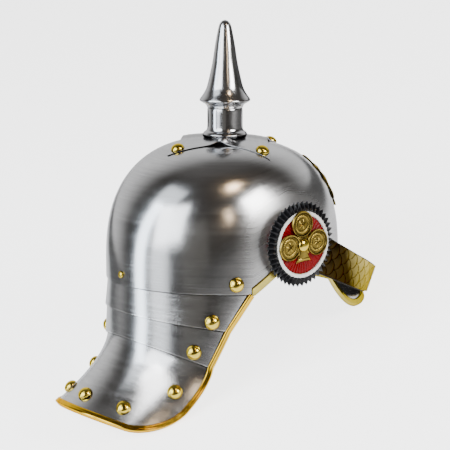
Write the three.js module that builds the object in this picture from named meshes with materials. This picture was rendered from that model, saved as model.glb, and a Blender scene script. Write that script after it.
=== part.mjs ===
import * as THREE from "three";

// Steel helmet with a spike, a nape of overlapping plates, a visor, two side rosettes and a scaled
// chin strap. Millimetres. Helmet frame: x forward, y to the wearer's left, z up, z = 0 at the lower
// edge of the skull at the back, the spike on x = y = 0.

const gap = 0.35;
const steelWall = 1.0;

const skull = {
  centre: -2,
  reach: 124,
  halfWidth: 101.5,
  equator: 15,
  height: 118,
  power: 2.4,
  sidePower: 0.55,
};
const skullEdge = [
  { x: -127, z: 1 },
  { x: -41, z: -3.5 },
  { x: 4, z: 28 },
  { x: 30, z: 24 },
  { x: 123, z: 14 },
];
const skullColumns = 44;
const skullRows = 8;

// The nape runs from the skull edge (row 0) over two lap lines to the flared rim (row 3).
const napeRows = [
  { centre: -2, reach: 124, halfWidth: 101.5, edgeAngle: 71.7, zBack: 1, zEdge: -3.5 },
  { centre: -35, reach: 91, halfWidth: 92, edgeAngle: 72, zBack: -25.5, zEdge: -38 },
  { centre: -35, reach: 91, halfWidth: 92, edgeAngle: 61, zBack: -50, zEdge: -72.5 },
  { centre: -85, reach: 100, halfWidth: 94, edgeAngle: 57, zBack: -110, zEdge: -131 },
];
const flarePower = 1.7;
const napeCorner = { start: 0.66, drop: 0.36 };
const lapTuck = 2.0;
const lapOverlap = 0.24;

const visor = {
  rootAngle: 52,
  rimAngle: 83,
  rimCentre: 20,
  rimReach: 123,
  rimHalfWidth: 95.5,
  rimSquareness: 3,
  lowX: 104,
  lowZ: -35,
  rearRise: 33,
  rearRun: 46,
  frontRise: 9,
  frontRun: 42,
  tuck: 7,
  inset: 2.3,
};

const spikeProfile = [
  { r: 0, z: 249 },
  { r: 3.2, z: 247.8 },
  { r: 5.4, z: 245 },
  { r: 6.6, z: 241.5 },
  { r: 9.8, z: 225 },
  { r: 12.4, z: 207 },
  { r: 16.2, z: 190 },
  { r: 18.2, z: 182.5 },
  { r: 21, z: 177 },
  { r: 25.1, z: 171.4 },
  { r: 25.1, z: 169.8 },
  { r: 18.8, z: 166.2 },
  { r: 17.6, z: 163.2 },
];
const spikeHollow = [
  { r: 16.2, z: 163.2 },
  { r: 16.2, z: 180 },
  { r: 11.2, z: 207 },
  { r: 5.2, z: 241 },
  { r: 0, z: 245.5 },
];
const spikeNeckProfile = [
  { r: 16.2, z: 162.6 },
  { r: 17.6, z: 162.6 },
  { r: 17.6, z: 143 },
  { r: 18.6, z: 140.4 },
  { r: 20.6, z: 139.2 },
  { r: 22.3, z: 137 },
  { r: 20.9, z: 135.6 },
  { r: 16.2, z: 135.6 },
];
const spikeBase = { tip: 71, valley: 42, hole: 15, wall: 1.0, lift: 1.2, archRise: 4.6, archWidth: 10 };

const studRadius = 7;
const studHeight = 5.6;
const baseStud = { radius: 6.5, height: 5, from: 58 };
const backRivet = { radius: 3.3, height: 2, z: 11 };
const napeStuds = [
  { name: "lame_upper_stud", t: 0.82, row: 0.8, stand: 0.5 },
  { name: "lame_middle_stud", t: 0.79, row: 1.74, stand: 0.5 },
  { name: "guard_stud_side", t: 0.79, row: 2.47, stand: -0.1 },
  { name: "guard_stud_rear", t: 0.5, row: 2.82, stand: 0.2 },
  { name: "guard_stud_back", t: 0, row: 2.83, stand: 0.5 },
];
const skullStud = { x: -57.6, z: 7 };

const frontPlate = {
  halfWidth: 58,
  zMiddle: 82,
  halfHeight: 32,
  squareness: 2.6,
  wall: 1.4,
  lift: 1.5,
  rays: 15,
  notch: 0.1,
  boss: 2.5,
};

const cockade = { x: 4.4, y: 108.2, z: 41.8 };
const cockadeFlutes = 42;
const cockadeRim = { outer: 40.4, inner: 32.4, outerLift: 1.3, innerLift: 6.1, wall: 1.2, flute: 1.2 };
const cockadeRing = { outer: 32, inner: 27.9, base: 3.6, top: 6.6 };
const cockadeDisc = { radius: 27.5, base: 3, edge: 4.6, middle: 6.2 };
const trefoil = {
  lobe: 12.6,
  hub: 8.5,
  stem: 16.5,
  stemSpread: 29,
  turn: 3.5,
  shift: -1.5,
  base: 6.95,
  top: 8.6,
};
const trefoilLobes = [
  { angle: 0, from: 18.4 },
  { angle: 90, from: 20.2 },
  { angle: 180, from: 16.8 },
];
const screw = { radius: 5.9, height: 3.4, base: 8.95 };

const strap = {
  tilt: 25.6,
  reach: 165,
  halfWidth: 105.1,
  squareness: 2.6,
  frontLift: 19,
  liftSpan: 105,
  endBack: 16,
  endHeight: 38,
  frontHeight: 27,
  leather: 2,
  scalePitch: 6.5,
  scaleFoot: 0.4,
  scaleLip: 1.25,
};
const strapSteps = 40;

// Attitude in which the whole helmet stands on its visor and the two nape corners.
const restTilt = 19.0375;
const restShift = { x: 29.98, z: 74.683 };

function material(name, color, roughness, metalness) {
  return new THREE.MeshStandardMaterial({ name, color, roughness, metalness });
}

const steel = material("steel", 0xb4b6b8, 0.28, 1);
const polishedSteel = material("polished_steel", 0xc3c4c6, 0.14, 1);
const brass = material("brass", 0xc9a24a, 0.25, 1);
const blackLacquer = material("black_lacquer", 0x111114, 0.2, 0);
const whiteLacquer = material("white_lacquer", 0xe9e6df, 0.4, 0);
const redLacquer = material("red_lacquer", 0x7c1116, 0.35, 0);
const leather = material("leather", 0x1b1714, 0.6, 0);

const helmet = new THREE.Group();
helmet.name = "pickelhaube";

const radians = THREE.MathUtils.degToRad;
const lerp = THREE.MathUtils.lerp;

// A closed mesh from triangles of points: equal points are joined, empty triangles dropped and the
// faces turned outward.
function closedGeometry(triangles) {
  const keys = new Map();
  const positions = [];
  const index = [];
  const indexOf = (p) => {
    const key = p.map((value) => Math.round(value * 1e5)).join(" ");
    if (!keys.has(key)) {
      keys.set(key, positions.length / 3);
      positions.push(...p);
    }
    return keys.get(key);
  };
  let volume = 0;
  for (const [a, b, c] of triangles) {
    const [i, j, k] = [indexOf(a), indexOf(b), indexOf(c)];
    if (i === j || j === k || k === i) continue;
    index.push(i, j, k);
    volume += a[0] * (b[1] * c[2] - b[2] * c[1]);
    volume += a[1] * (b[2] * c[0] - b[0] * c[2]);
    volume += a[2] * (b[0] * c[1] - b[1] * c[0]);
  }
  if (volume < 0) {
    for (let i = 0; i < index.length; i += 3) {
      [index[i], index[i + 1]] = [index[i + 1], index[i]];
    }
  }
  const geometry = new THREE.BufferGeometry();
  geometry.setAttribute("position", new THREE.Float32BufferAttribute(positions, 3));
  geometry.setIndex(index);
  geometry.computeVertexNormals();
  return geometry;
}

function addQuad(triangles, a, b, c, d) {
  triangles.push([a, b, c], [a, c, d]);
}

// A plate between two grids of points with the same rows and columns.
function plateGeometry(front, back, wraps) {
  const triangles = [];
  const rows = front.length;
  const columns = front[0].length;
  const next = (j) => (j + 1) % columns;
  const last = wraps ? columns : columns - 1;
  for (let j = 0; j < last; j += 1) {
    const k = next(j);
    for (let i = 0; i + 1 < rows; i += 1) {
      addQuad(triangles, front[i][j], front[i + 1][j], front[i + 1][k], front[i][k]);
      addQuad(triangles, back[i][k], back[i + 1][k], back[i + 1][j], back[i][j]);
    }
    addQuad(triangles, front[0][k], back[0][k], back[0][j], front[0][j]);
    addQuad(triangles, front[rows - 1][j], back[rows - 1][j], back[rows - 1][k], front[rows - 1][k]);
  }
  if (!wraps) {
    for (let i = 0; i + 1 < rows; i += 1) {
      addQuad(triangles, front[i][0], back[i][0], back[i + 1][0], front[i + 1][0]);
      const end = columns - 1;
      addQuad(triangles, front[i + 1][end], back[i + 1][end], back[i][end], front[i][end]);
    }
  }
  return closedGeometry(triangles);
}

// Rings of points joined in order, closed by caps at both ends.
function sweptGeometry(rings, section) {
  const triangles = [];
  const count = section.length;
  for (let i = 0; i + 1 < rings.length; i += 1) {
    for (let j = 0; j < count; j += 1) {
      const k = (j + 1) % count;
      addQuad(triangles, rings[i][j], rings[i + 1][j], rings[i + 1][k], rings[i][k]);
    }
  }
  const flat = section.map(([e, n]) => new THREE.Vector2(e, n));
  const winding = Math.sign(THREE.ShapeUtils.area(flat));
  const first = rings[0];
  const end = rings[rings.length - 1];
  for (const face of THREE.ShapeUtils.triangulateShape(flat, [])) {
    const turns = Math.sign(THREE.ShapeUtils.area(face.map((i) => flat[i]))) === winding;
    const [a, b, c] = turns ? face : face.toReversed();
    triangles.push([first[a], first[b], first[c]], [end[c], end[b], end[a]]);
  }
  return closedGeometry(triangles);
}

function turnedGeometry(profile, segments, ripple = () => 0) {
  const triangles = [];
  const ring = ({ r, z }) => {
    const points = [];
    for (let j = 0; j < segments; j += 1) {
      const angle = (2 * Math.PI * j) / segments;
      points.push([r * Math.cos(angle), r * Math.sin(angle), z + ripple(r, j)]);
    }
    return points;
  };
  const rings = profile.map(ring);
  const closes = profile[0].r !== 0 || profile[profile.length - 1].r !== 0;
  const last = closes ? rings.length : rings.length - 1;
  for (let i = 0; i < last; i += 1) {
    const below = rings[(i + 1) % rings.length];
    for (let j = 0; j < segments; j += 1) {
      const k = (j + 1) % segments;
      addQuad(triangles, rings[i][j], below[j], below[k], rings[i][k]);
    }
  }
  return closedGeometry(triangles);
}

function add(name, geometry, material, parent = helmet) {
  const mesh = new THREE.Mesh(geometry, material);
  mesh.name = name;
  parent.add(mesh);
  return mesh;
}

function pointAlong(point, direction, distance) {
  return point.map((value, i) => value + direction[i] * distance);
}

function normalOf(surface, u, v) {
  const step = 0.002;
  const along = (du, dv) => {
    const a = new THREE.Vector3(...surface(u + du, v + dv));
    return a.sub(new THREE.Vector3(...surface(u - du, v - dv)));
  };
  return along(step, 0).cross(along(0, step)).normalize();
}

// Skull
function skullPower(angle) {
  return skull.power + skull.sidePower * Math.sin(angle) ** 2;
}

function skullRadius(angle, z, inset = 0) {
  const rise = Math.max(0, (z - skull.equator) / (skull.height - inset));
  const power = skullPower(angle);
  return Math.max(0, 1 - rise ** power) ** (1 / power);
}

function skullEdgeAt(x) {
  const next = Math.max(1, skullEdge.findIndex((point) => point.x >= x));
  const [a, b] = [skullEdge[next - 1], skullEdge[next]];
  return lerp(a.z, b.z, (x - a.x) / (b.x - a.x));
}

function skullPoint(angle, z, inset = 0) {
  const scale = skullRadius(angle, z, inset);
  return [
    skull.centre + (skull.reach - inset) * scale * Math.cos(angle),
    (skull.halfWidth - inset) * scale * Math.sin(angle),
    z,
  ];
}

function skullTop(x, y, lift) {
  const [u, v] = [(x - skull.centre) / skull.reach, y / skull.halfWidth];
  const power = skullPower(Math.atan2(v, u));
  return skull.equator + skull.height * (1 - Math.hypot(u, v) ** power) ** (1 / power) + lift;
}

function skullNormal(x, y, z) {
  const [u, v] = [(x - skull.centre) / skull.reach, y / skull.halfWidth];
  const rise = Math.max(0, (z - skull.equator) / skull.height);
  const power = skullPower(Math.atan2(v, u));
  const pull = Math.hypot(u, v) ** (power - 2);
  const slopes = [(pull * u) / skull.reach, (pull * v) / skull.halfWidth];
  return new THREE.Vector3(...slopes, rise ** (power - 1) / skull.height).normalize();
}

// Columns are even, except that one falls on each corner of the lower edge.
function skullAngles() {
  const list = [];
  for (let j = 0; j < skullColumns; j += 1) {
    list.push((2 * Math.PI * j) / skullColumns);
  }
  for (const { x } of skullEdge.slice(1, -1)) {
    const corner = Math.acos((x - skull.centre) / skull.reach);
    const j = Math.round((corner * skullColumns) / (2 * Math.PI));
    list[j] = corner;
    list[skullColumns - j] = 2 * Math.PI - corner;
  }
  return list;
}

function skullGrid(inset) {
  const rows = [];
  const top = skull.equator + skull.height - inset;
  for (let i = 0; i <= skullRows; i += 1) {
    const fall = Math.cos((Math.PI / 2) * (i / skullRows)) ** 0.85;
    const row = [];
    for (const angle of skullAngles()) {
      const edge = skullEdgeAt(skull.centre + skull.reach * Math.cos(angle));
      row.push(skullPoint(angle, lerp(edge, top, fall), inset));
    }
    rows.push(row);
  }
  return rows;
}

add("skull", plateGeometry(skullGrid(0), skullGrid(steelWall), true), steel);

// Nape plates
function napePoint(t, row) {
  const i = THREE.MathUtils.clamp(Math.floor(row), 0, 2);
  const f = row - i;
  const [a, b] = [napeRows[i], napeRows[i + 1]];
  const plan = i === 2 ? Math.max(0, f) ** flarePower : Math.max(0, f);
  const edge = radians(lerp(a.edgeAngle, b.edgeAngle, Math.max(0, f)));
  const angle = t * edge;
  const fan = (1 - Math.cos(angle)) / (1 - Math.cos(edge));
  return [
    lerp(a.centre, b.centre, plan) - lerp(a.reach, b.reach, plan) * Math.cos(angle),
    lerp(a.halfWidth, b.halfWidth, plan) * Math.sin(angle),
    lerp(lerp(a.zBack, b.zBack, f), lerp(a.zEdge, b.zEdge, f), fan),
  ];
}

function napeNormal(t, row) {
  const normal = normalOf(napePoint, t, row);
  return normal.x * -1 + Math.abs(normal.y) * 0.3 < 0 ? normal.negate() : normal;
}

function napeRim(t) {
  const q = Math.max(0, (Math.abs(t) - napeCorner.start) / (1 - napeCorner.start));
  return 3 - napeCorner.drop * (1 - Math.sqrt(1 - Math.min(1, q * q)));
}

// Columns from one side edge to the other, closer together round the two lower corners.
function napeColumns(middle, corner) {
  const half = [];
  for (let i = 0; i < corner; i += 1) {
    half.push(lerp(napeCorner.start, 1, Math.cos((i / corner) * (Math.PI / 2))));
  }
  for (let i = 0; i < middle; i += 1) half.push(napeCorner.start * (1 - i / middle));
  return [...half, 0, ...half.toReversed().map((t) => -t)];
}

function napePlate(top, bottom, columns, stops) {
  const grid = (inset) =>
    stops.map((stop) =>
      napeColumns(...columns).map((t) => {
        const row = lerp(top, bottom > 2 ? napeRim(t) : bottom, stop);
        const sink = lapTuck * (1 - stop) + inset;
        return pointAlong(napePoint(t, row), napeNormal(t, row).toArray(), -sink);
      }),
    );
  return plateGeometry(grid(0), grid(steelWall), false);
}

const lapStops = [0, lapOverlap / (1 + lapOverlap), 0.6, 1];
const guardStops = [0, 0.12, 0.27, 0.42, 0.57, 0.72, 0.86, 1];
const guardColumns = [6, 7];
add("neck_lame_upper", napePlate(-lapOverlap, 1, [5, 3], lapStops), steel);
add("neck_lame_middle", napePlate(1 - lapOverlap, 2, [5, 3], lapStops), steel);
add("neck_guard", napePlate(2 - lapOverlap / 2, 3, guardColumns, guardStops), steel);

// Edge bindings: a channel with a flange on both faces of the plate.
function channel({ flange, inner, below, play, lip, metal }) {
  return [
    [-flange, play],
    [-flange + 0.5, play + metal],
    [lip - 0.7, play + metal],
    [lip, play + metal - 0.8],
    [lip, -below - play - metal],
    [-inner, -below - play - metal],
    [-inner, -below - play],
    [gap, -below - play],
    [gap, play],
  ];
}

function edgeRings(stations, section) {
  return stations.map(({ point, normal }, i) => {
    const before = new THREE.Vector3(...stations[Math.max(0, i - 1)].point);
    const after = new THREE.Vector3(...stations[Math.min(stations.length - 1, i + 1)].point);
    const outward = after.sub(before).cross(normal).normalize();
    const place = ([e, n]) => pointAlong(pointAlong(point, outward.toArray(), e), normal.toArray(), n);
    return section.map(place);
  });
}

function napeEdge() {
  const side = [0.04, 0.4, 0.75, 1, 1.25, 1.6, 1.9, 2.1, 2.25, 2.42];
  const path = side.map((row) => [1, row]);
  for (const t of napeColumns(...guardColumns)) path.push([t, napeRim(t)]);
  for (const row of side.toReversed()) path.push([-1, row]);
  return path.map(([t, row]) => ({ point: napePoint(t, row), normal: napeNormal(t, row) }));
}

const napeSection = channel({
  flange: 4.2,
  inner: 4.2,
  below: lapTuck + steelWall,
  play: gap,
  lip: 1.5,
  metal: 1,
});
add("neck_trim", sweptGeometry(edgeRings(napeEdge(), napeSection), napeSection), brass);

function skullSideEdge(side) {
  const list = [];
  for (const angle of skullAngles()) {
    const x = skull.centre + skull.reach * Math.cos(angle);
    const inRange = x > skullEdge[1].x - 0.1 && x < skullEdge[3].x + 0.1;
    if (!inRange || Math.sin(angle) * side < 0) continue;
    const point = skullPoint(angle, skullEdgeAt(x));
    list.push({ point, normal: skullNormal(x, point[1], 0) });
  }
  return list;
}

// The strip over the ears is folded under the edge only.
const sideSection = [
  [-6.4, gap],
  [-5.9, gap + 1],
  [0.6, gap + 1],
  [1.4, gap + 0.2],
  [1.4, -steelWall],
  [gap, -steelWall],
  [gap, gap],
];
for (const [name, side] of [["skull_trim_right", -1], ["skull_trim_left", 1]]) {
  add(name, sweptGeometry(edgeRings(skullSideEdge(side), sideSection), sideSection), brass);
}

// Visor
function visorRim(t) {
  const angle = radians(visor.rimAngle * t);
  const round = 2 / visor.rimSquareness;
  const x = visor.rimCentre + visor.rimReach * Math.cos(angle) ** round;
  const y = visor.rimHalfWidth * Math.sign(t) * Math.abs(Math.sin(angle)) ** round;
  const rear = visor.rearRise * (Math.max(0, visor.lowX - x) / visor.rearRun) ** 2;
  const front = visor.frontRise * (Math.max(0, x - visor.lowX) / visor.frontRun) ** 2;
  return [x, y, visor.lowZ + rear + front];
}

function visorRoot(t) {
  const angle = radians(visor.rootAngle * t);
  return skullPoint(angle, skullEdgeAt(skull.centre + skull.reach * Math.cos(angle)), visor.inset);
}

function visorPoint(t, w) {
  const [root, rim] = [visorRoot(t), visorRim(t)];
  return root.map((value, i) => lerp(value, rim[i], w));
}

function visorNormal(t, w) {
  const normal = normalOf(visorPoint, t, w);
  const [x, y] = visorPoint(t, w);
  return normal.x * x + normal.y * y < 0 ? normal.negate() : normal;
}

function visorColumns() {
  const list = [];
  const count = 22;
  for (let j = 0; j <= count; j += 1) {
    const u = (2 * j) / count - 1;
    list.push(0.45 * u + 0.55 * Math.sin((u * Math.PI) / 2));
  }
  return list;
}

// The upper strip of the plate stands against the inside of the skull.
function visorGrid(inset) {
  const upright = visorColumns().map((t) => {
    const angle = radians(visor.rootAngle * t);
    const [x, y, z] = visorRoot(t);
    return [x - inset * Math.cos(angle), y - inset * Math.sin(angle), z];
  });
  const list = [upright.map(([x, y, z]) => [x, y, z + visor.tuck]), upright];
  for (const w of [0.35, 0.7, 1]) {
    list.push(visorColumns().map((t) => pointAlong(visorPoint(t, w), visorNormal(t, w).toArray(), -inset)));
  }
  return list;
}

add("visor", plateGeometry(visorGrid(0), visorGrid(steelWall), false), steel);

function visorEdge() {
  return visorColumns().map((t) => ({ point: visorPoint(t, 1), normal: visorNormal(t, 1) }));
}

const visorSection = channel({
  flange: 5.4,
  inner: 2.5,
  below: steelWall,
  play: 0.6,
  lip: 1.5,
  metal: 1,
});
add("visor_trim", sweptGeometry(edgeRings(visorEdge(), visorSection), visorSection), brass);

// Spike, its collar and the plate below
add("spike", turnedGeometry([...spikeProfile, ...spikeHollow], 24), polishedSteel);
add("spike_neck", turnedGeometry(spikeNeckProfile, 24), polishedSteel);

function starReach(angle) {
  const near = Math.abs(((angle % (Math.PI / 2)) + Math.PI / 2) % (Math.PI / 2));
  const turn = Math.min(near, Math.PI / 2 - near);
  const inner = spikeBase.valley * Math.SQRT1_2;
  const run = spikeBase.tip - inner;
  return (spikeBase.tip * inner) / (inner * Math.cos(turn) + run * Math.sin(turn));
}

function baseGrid(lift) {
  const rows = [];
  const columns = 32;
  for (const f of [0, 0.3, 0.55, 0.8, 1]) {
    const row = [];
    for (let j = 0; j < columns; j += 1) {
      const angle = (2 * Math.PI * j) / columns;
      const r = lerp(spikeBase.hole, starReach(angle), f);
      const [x, y] = [r * Math.cos(angle), r * Math.sin(angle)];
      const across = (Math.abs(x) - Math.abs(y)) / Math.SQRT2;
      const along = THREE.MathUtils.smoothstep((Math.abs(x) + Math.abs(y)) / Math.SQRT2, 20, 38);
      const arch = spikeBase.archRise * along * Math.exp(-((across / spikeBase.archWidth) ** 2));
      row.push([x, y, skullTop(x, y, lift + arch)]);
    }
    rows.push(row);
  }
  return rows;
}

const baseTop = baseGrid(spikeBase.lift + spikeBase.wall);
add("spike_base", plateGeometry(baseTop, baseGrid(spikeBase.lift), true), steel);

// Domed studs
function domeProfile(radius, height) {
  const list = [{ r: 0, z: height }];
  for (const angle of [32, 62]) {
    list.push({
      r: radius * Math.sin(radians(angle)),
      z: height * Math.cos(radians(angle)),
    });
  }
  list.push({ r: radius, z: 0 }, { r: 0, z: 0 });
  return list;
}

function addStud(name, point, normal, size, stand) {
  const mesh = add(name, turnedGeometry(domeProfile(size.radius, size.height), 12), brass);
  mesh.position.set(...pointAlong(point, normal.toArray(), stand));
  mesh.quaternion.setFromUnitVectors(new THREE.Vector3(0, 0, 1), normal);
}

const stud = { radius: studRadius, height: studHeight };
for (const [name, angle] of [["front", 0], ["left", 90], ["back", 180], ["right", 270]]) {
  const x = baseStud.from * Math.cos(radians(angle));
  const y = baseStud.from * Math.sin(radians(angle));
  const z = skullTop(x, y, 0);
  const stand = spikeBase.lift + spikeBase.wall + 0.7;
  addStud(`base_stud_${name}`, [x, y, z], skullNormal(x, y, z), baseStud, stand);
}
for (const { name, t, row, stand } of napeStuds) {
  for (const [suffix, side] of t === 0 ? [["", 1]] : [["_right", -1], ["_left", 1]]) {
    addStud(name + suffix, napePoint(side * t, row), napeNormal(side * t, row), stud, stand);
  }
}
for (const [suffix, side] of [["_right", -1], ["_left", 1]]) {
  const y = side * skull.halfWidth * Math.sqrt(1 - ((skullStud.x - skull.centre) / skull.reach) ** 2);
  addStud(`skull_stud${suffix}`, [skullStud.x, y, skullStud.z], skullNormal(skullStud.x, y, 0), stud, 0.5);
}
const rivetPoint = [skull.centre - skull.reach, 0, backRivet.z];
addStud("back_rivet", rivetPoint, new THREE.Vector3(-1, 0, 0), backRivet, 0.5);

// Front plate with a rayed edge
function frontPlateGrid(lift) {
  const rows = [];
  const columns = frontPlate.rays * 2;
  for (const f of [0.02, 0.55, 1]) {
    const row = [];
    for (let j = 0; j < columns; j += 1) {
      const angle = (2 * Math.PI * j) / columns;
      const reach = f * (1 - (j % 2) * frontPlate.notch * f);
      const [across, up] = [Math.cos(angle), Math.sin(angle)].map(
        (value) => reach * Math.sign(value) * Math.abs(value) ** (2 / frontPlate.squareness),
      );
      const y = frontPlate.halfWidth * across;
      const z = frontPlate.zMiddle + frontPlate.halfHeight * up;
      const scale = skullRadius(Math.asin(y / skull.halfWidth), z);
      const x = skull.centre + skull.reach * Math.sqrt(scale ** 2 - (y / skull.halfWidth) ** 2);
      const boss = frontPlate.boss * (1 - f * f);
      row.push(pointAlong([x, y, z], skullNormal(x, y, z).toArray(), lift + boss));
    }
    rows.push(row);
  }
  return rows;
}

const plateFront = frontPlateGrid(frontPlate.lift + frontPlate.wall);
add("front_plate", plateGeometry(plateFront, frontPlateGrid(frontPlate.lift), true), brass);

// Cockades: each is built facing +z and turned to its side.
function trefoilReach(angle) {
  let reach = trefoil.hub;
  for (const lobe of trefoilLobes) {
    const turn = angle - radians(lobe.angle + trefoil.turn);
    const across = lobe.from * Math.sin(turn);
    if (Math.cos(turn) > 0 && Math.abs(across) < trefoil.lobe) {
      const far = lobe.from * Math.cos(turn) + Math.sqrt(trefoil.lobe ** 2 - across ** 2);
      reach = Math.max(reach, far);
    }
  }
  const down = Math.cos(angle - radians(270 + trefoil.turn));
  if (down > Math.cos(radians(trefoil.stemSpread))) reach = Math.max(reach, trefoil.stem / down);
  return reach;
}

function trefoilGeometry() {
  const columns = 48;
  const ring = (scale, z) => {
    const points = [];
    for (let j = 0; j < columns; j += 1) {
      const angle = (2 * Math.PI * j) / columns;
      const r = trefoilReach(angle) * scale;
      points.push([r * Math.cos(angle), r * Math.sin(angle), z]);
    }
    return points;
  };
  const front = [ring(0, trefoil.top), ring(0.94, trefoil.top), ring(1, trefoil.top - 0.7)];
  const back = [ring(0, trefoil.base), ring(1, trefoil.base), ring(1, trefoil.base)];
  return plateGeometry(front, back, true);
}

function addCockade(suffix, side) {
  const group = new THREE.Group();
  group.name = `cockade${suffix}`;
  group.position.set(cockade.x, side * cockade.y, cockade.z);
  group.rotation.set(side * radians(-90), 0, side > 0 ? radians(180) : 0);
  helmet.add(group);
  const { outer, inner, outerLift, innerLift, wall, flute } = cockadeRim;
  const rimProfile = [
    { r: outer, z: outerLift - wall / 2 },
    { r: inner, z: innerLift - wall },
    { r: inner, z: innerLift },
    { r: outer, z: outerLift + wall / 2 },
  ];
  const fluting = (r, j) => (j % 2 === 0 ? 0 : (-flute * Math.max(0, r - inner + 2)) / (outer - inner + 2));
  add(`cockade_rim${suffix}`, turnedGeometry(rimProfile, cockadeFlutes * 2, fluting), blackLacquer, group);
  const ringProfile = [
    { r: cockadeRing.outer, z: cockadeRing.base },
    { r: cockadeRing.inner, z: cockadeRing.base },
    { r: cockadeRing.inner, z: cockadeRing.top },
    { r: cockadeRing.outer, z: cockadeRing.top },
  ];
  add(`cockade_ring${suffix}`, turnedGeometry(ringProfile, 32), whiteLacquer, group);
  const discProfile = [
    { r: 0, z: cockadeDisc.middle },
    { r: cockadeDisc.radius, z: cockadeDisc.edge },
    { r: cockadeDisc.radius, z: cockadeDisc.base },
    { r: 0, z: cockadeDisc.base },
  ];
  add(`cockade_disc${suffix}`, turnedGeometry(discProfile, cockadeFlutes), redLacquer, group);
  const leaf = add(`trefoil${suffix}`, trefoilGeometry(), brass, group);
  leaf.position.x = -side * trefoil.shift;
  const screwGeometry = turnedGeometry(domeProfile(screw.radius, screw.height), 12);
  const dome = add(`cockade_screw${suffix}`, screwGeometry, brass, group);
  dome.position.set(-side * trefoil.shift, 0, screw.base);
}

addCockade("_right", -1);
addCockade("_left", 1);

// Chin strap: a band round the front in a plane that dips forward from the cockade screws.
const strapArc = 0.5 * Math.PI * 0.85 * strap.reach;
const strapStraight = strap.endBack / (strap.endBack + strapArc);

function strapStation(t) {
  const side = Math.sign(t);
  const arc = Math.min(1, Math.abs(t) / (1 - strapStraight));
  const back = Math.max(0, Math.abs(t) - (1 - strapStraight)) / strapStraight;
  const angle = (Math.PI / 2) * arc;
  const round = 2 / strap.squareness;
  const along = strap.reach * Math.max(0, Math.cos(angle)) ** round - strap.endBack * back;
  const across = side * strap.halfWidth * Math.sin(angle) ** round;
  const pull = 2 - round;
  const normal = [
    Math.max(0, Math.cos(angle)) ** pull / strap.reach,
    (side * Math.sin(angle) ** pull) / strap.halfWidth,
  ];
  const size = Math.hypot(...normal);
  const height = lerp(strap.frontHeight, strap.endHeight, arc ** 2) * (1 - 0.5 * back ** 3);
  const lift = strap.frontLift * (1 - THREE.MathUtils.smoothstep(Math.abs(across), 0, strap.liftSpan));
  return { along, across, normal: normal.map((value) => value / size), height, lift };
}

function strapPoint({ along, across, normal, height, lift }, up, out) {
  const [x, y] = [along + normal[0] * out, across + normal[1] * out];
  const tilt = radians(strap.tilt);
  const z = up * height;
  return [
    cockade.x + x * Math.cos(tilt) + z * Math.sin(tilt),
    y,
    cockade.z - x * Math.sin(tilt) + z * Math.cos(tilt) + lift,
  ];
}

const leatherSection = [[-0.5, 0], [0.5, 0], [0.5, 1], [-0.5, 1]];
const leatherRings = [];
for (let i = 0; i <= strapSteps; i += 1) {
  const station = strapStation((2 * i) / strapSteps - 1);
  leatherRings.push(leatherSection.map(([up, out]) => strapPoint(station, up, out * strap.leather)));
}
add("strap_leather", sweptGeometry(leatherRings, leatherSection), leather);

// Courses of scales: every course rises to a lip that stands over the next one towards the front.
function scaleRings() {
  const rings = [];
  const length = 2 * (strap.endBack + strapArc);
  const courses = Math.round(length / strap.scalePitch / 2) * 2;
  const base = strap.leather + 0.3;
  const push = (t, lip) => {
    const station = strapStation(t);
    const section = [[-0.46, base], [0.46, base], [0.46, base + lip], [-0.46, base + lip]];
    rings.push(section.map(([up, out]) => strapPoint(station, up, out)));
  };
  for (let i = 0; i <= courses; i += 1) {
    const t = ((2 * i) / courses - 1) * 0.98;
    const step = 0.12 / courses;
    const first = t < -1e-9 ? strap.scaleLip : strap.scaleFoot;
    const second = t > 1e-9 ? strap.scaleLip : strap.scaleFoot;
    push(t - step, first);
    push(t + step, second);
  }
  return rings;
}

const scaleSection = [[-0.46, 0], [0.46, 0], [0.46, 1], [-0.46, 1]];
add("strap_scales", sweptGeometry(scaleRings(), scaleSection), brass);

helmet.rotation.y = radians(restTilt);
helmet.position.set(restShift.x, 0, restShift.z);

const part = new THREE.Group();
part.add(helmet);
export default part;
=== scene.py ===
import math

import bmesh
import bpy
from mathutils import Matrix, Vector


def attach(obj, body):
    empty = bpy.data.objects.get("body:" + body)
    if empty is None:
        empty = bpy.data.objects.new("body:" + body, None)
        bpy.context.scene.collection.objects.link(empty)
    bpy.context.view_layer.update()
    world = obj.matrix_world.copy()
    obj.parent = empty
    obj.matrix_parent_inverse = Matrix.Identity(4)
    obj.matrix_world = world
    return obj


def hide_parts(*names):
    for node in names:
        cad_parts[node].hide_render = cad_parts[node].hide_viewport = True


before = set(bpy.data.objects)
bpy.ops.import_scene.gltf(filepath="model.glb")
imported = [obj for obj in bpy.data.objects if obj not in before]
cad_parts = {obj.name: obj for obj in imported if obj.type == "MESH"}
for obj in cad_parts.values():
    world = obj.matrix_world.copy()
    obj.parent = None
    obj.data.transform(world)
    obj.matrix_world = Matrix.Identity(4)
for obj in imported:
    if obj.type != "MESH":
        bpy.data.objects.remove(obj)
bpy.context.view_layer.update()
scene = bpy.context.scene

# modelled in millimetres on the upright helmet, then set down on the floor
stand = {"tilt": 19.0375, "x": 29.98, "z": 74.683}
turn = Matrix.Rotation(math.radians(stand["tilt"]), 4, "Y")
toRow = Matrix.Scale(0.001, 4) @ Matrix.Translation((stand["x"], 0, stand["z"])) @ turn

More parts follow.
